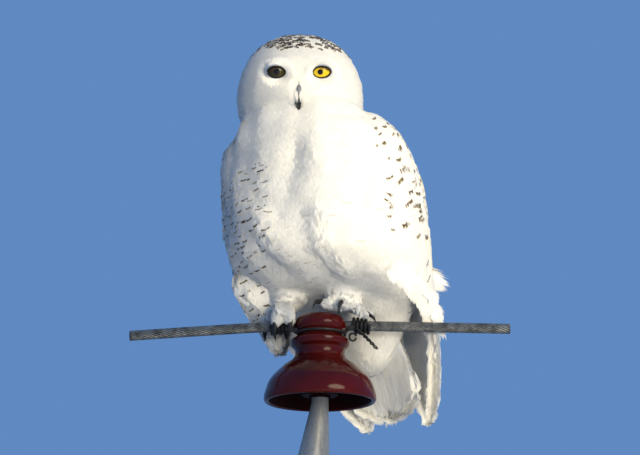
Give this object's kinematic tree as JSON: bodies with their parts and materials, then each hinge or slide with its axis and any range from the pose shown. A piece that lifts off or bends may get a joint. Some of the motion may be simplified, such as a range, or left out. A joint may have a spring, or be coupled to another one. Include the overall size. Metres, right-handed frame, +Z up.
{
  "type": "perched snowy owl",
  "caption": "White owl with yellow eyes, perched on a wire over a red-brown pin insulator, its head turned to one side, on a rod and round base.",
  "frame": {"origin": "centre of the round base's underside", "axes": "+Z up; the owl's body faces -Y and its left side is +X; its head is turned 38 degrees to its left"},
  "size_m": [0.3862, 0.3309, 0.7978],
  "materials": {
    "plumage": "soft white contour feathers",
    "wing_plumage": "white flight feathers and coverts with sparse brown marks",
    "iris": "wet yellow iris, black pupil, clear cornea",
    "horn": "black horn",
    "glaze": "deep red-brown glaze",
    "strand": "weathered stranded aluminium",
    "tie_metal": "black tie wire",
    "pin_metal": "galvanised steel, weathered",
    "base_wood": "dark stained wood, satin"
  },
  "bodies": {
    "root": {"head": "plumage", "neck": "plumage", "trunk": "plumage", "flank_right": "plumage", "wing_left": "wing_plumage", "wing_right": "wing_plumage", "wing_tuft_1": "plumage", "wing_tuft_2": "plumage", "tail": "wing_plumage", "leg_left": "plumage", "leg_right": "plumage", "toe_left_1": "plumage", "toe_left_2": "plumage", "toe_left_3": "plumage", "toe_left_4": "plumage", "toe_right_1": "plumage", "toe_right_2": "plumage", "toe_right_3": "plumage", "toe_right_4": "plumage", "claw_left_1": "horn", "claw_left_2": "horn", "claw_left_3": "horn", "claw_left_4": "horn", "claw_right_1": "horn", "claw_right_2": "horn", "claw_right_3": "horn", "claw_right_4": "horn", "bill_upper": "horn", "bill_lower": "horn", "eye_left": "iris", "eye_right": "iris", "perch_insulator": "glaze", "perch_conductor": "strand", "perch_tie_wire": "tie_metal", "stand_rod": "pin_metal", "stand_base": "base_wood"}
  },
  "joints": []
}
